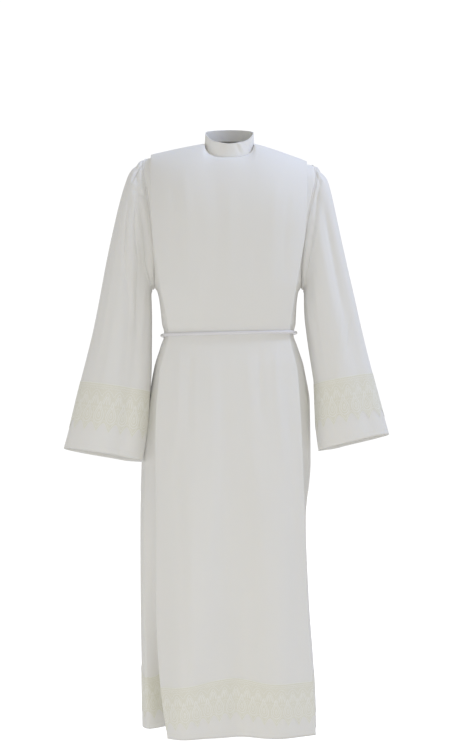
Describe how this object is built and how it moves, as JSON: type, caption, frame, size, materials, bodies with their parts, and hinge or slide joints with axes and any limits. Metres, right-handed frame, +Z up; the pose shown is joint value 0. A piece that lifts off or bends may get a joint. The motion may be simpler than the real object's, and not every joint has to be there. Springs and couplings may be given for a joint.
{
  "type": "alb with lace bands and waist cord",
  "caption": "Worn ankle-length white alb with a stand collar, wide open sleeves, lace bands at hem and cuffs, and a narrow waist cord; hollow, walls as cloth.",
  "frame": {"origin": "middle of the neck opening, level with the inner ends of the shoulder seams, where the wearer's neck and shoulders hold the garment", "axes": "+X towards the wearer's left, +Y towards the wearer's back, +Z up; the front faces -Y"},
  "size_m": [0.792, 0.3514, 1.4692],
  "materials": {
    "cloth": "matt off-white polyester and viscose plain weave",
    "lace": "cream corded lace with a slight sheen",
    "cord": "white satin-covered cord"
  },
  "bodies": {
    "root": {"skirt_front": "cloth", "waist_front": "cloth", "chest_front": "cloth", "shoulder_front_right": "cloth", "neck_front": "cloth", "shoulder_front_left": "cloth", "skirt_back": "cloth", "waist_back": "cloth", "chest_back": "cloth", "shoulder_back_left": "cloth", "neck_back": "cloth", "shoulder_back_right": "cloth", "sleeve_right": "cloth", "sleeve_left": "cloth", "collar": "cloth", "hem_lace": "lace", "cuff_lace_right": "lace", "cuff_lace_left": "lace", "waist_cord": "cord"}
  },
  "joints": []
}
